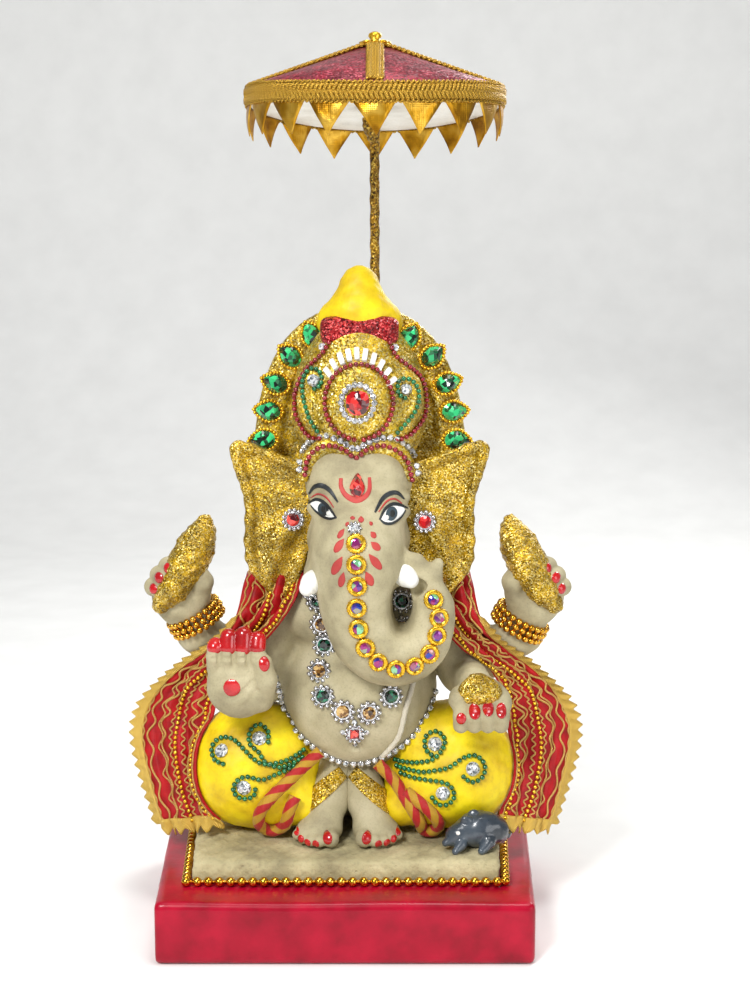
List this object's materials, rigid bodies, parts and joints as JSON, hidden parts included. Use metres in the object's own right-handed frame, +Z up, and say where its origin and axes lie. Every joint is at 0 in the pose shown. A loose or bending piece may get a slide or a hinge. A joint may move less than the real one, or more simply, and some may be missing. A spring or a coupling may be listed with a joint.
{
  "type": "elephant-headed devotional idol",
  "caption": "Seated clay elephant-headed idol on a painted base, with glued ornaments, a draped shawl and a lift-off umbrella that turns on its pole.",
  "frame": {"origin": "centre of the base's flat underside, midway between its front and back edges, on its line of symmetry", "axes": "+Z up along the figure and the umbrella's pole, -Y towards the front of the figure, +X towards the figure's own left"},
  "size_m": [0.2256, 0.168, 0.4057],
  "materials": {
    "base_paint": "gloss",
    "clay": "matte",
    "yellow_paint": "matte",
    "gold_glitter": "satin",
    "red_glitter": "satin",
    "slate_paint": "satin",
    "white_paint": "satin",
    "gilt": "polished",
    "clear_stone": "polished",
    "green_stone": "polished",
    "red_stone": "polished",
    "mirror_foil": "polished",
    "red_bead": "gloss",
    "green_bead": "gloss",
    "white_enamel": "gloss",
    "silver_claw": "polished",
    "cotton_thread": "matte",
    "twisted_cord": "satin",
    "shawl_cloth": "satin",
    "gilt_lace": "satin",
    "wrapped_pole": "satin",
    "canopy_foil": "satin",
    "lining_card": "matte",
    "gold_foil": "satin",
    "gold_braid": "satin"
  },
  "bodies": {
    "idol": {"base_block": "base_paint", "clay_plinth": "clay", "base_ball_chain": "gilt", "torso": "clay", "right_thigh": "yellow_paint", "left_thigh": "yellow_paint", "right_foot": "clay", "left_foot": "clay", "right_arm": "clay", "left_arm": "clay", "blessing_hand": "clay", "offering_hand": "clay", "right_rear_arm": "clay", "left_rear_arm": "clay", "right_conch": "gold_glitter", "left_conch": "gold_glitter", "modak": "gold_glitter", "head": "clay", "trunk": "clay", "tusks": "white_paint", "right_ear": "gold_glitter", "left_ear": "gold_glitter", "halo": "gold_glitter", "crown": "gold_glitter", "crown_band": "red_glitter", "crown_peak": "yellow_paint", "mouse": "slate_paint", "crown_gem": "red_stone", "crown_gem_ring": "clear_stone", "crown_fan_stones": "white_enamel", "crown_oval_beads": "red_bead", "crown_outline_beads": "red_bead", "crown_green_beads": "green_bead", "leaf_frames": "gilt", "leaf_gems": "green_stone", "hairline_stones": "clear_stone", "hairline_beads": "red_bead", "forehead_gem": "red_stone", "ear_studs": "silver_claw", "ear_stud_gems": "red_stone", "trunk_settings": "gilt", "trunk_mirrors": "mirror_foil", "necklace_flowers": "silver_claw", "necklace_gems": "green_stone", "necklace_pendant": "red_stone", "waist_chain": "clear_stone", "sacred_thread": "cotton_thread", "right_bracelets": "gilt", "left_bracelets": "gilt", "dhoti_bead_scrolls": "green_bead", "dhoti_stones": "clear_stone", "hem_ropes": "twisted_cord", "shawl": "shawl_cloth", "shawl_lace": "gilt_lace"},
    "umbrella_pole": {"umbrella_pole": "wrapped_pole"},
    "canopy": {"canopy_cone": "canopy_foil", "canopy_lining": "lining_card", "canopy_braids": "gold_braid", "pennants": "gold_foil", "finial": "gold_braid"}
  },
  "joints": [
    {"name": "umbrella_lift", "type": "slide", "parent": "idol", "child": "umbrella_pole", "axis": [0, 0, 1], "range_m": [0, 0.03]},
    {"name": "canopy_turn", "type": "hinge", "parent": "umbrella_pole", "child": "canopy", "pos_m": [0.013, 0.042, 0.371], "axis": [0, 0, 1], "continuous": true}
  ]
}
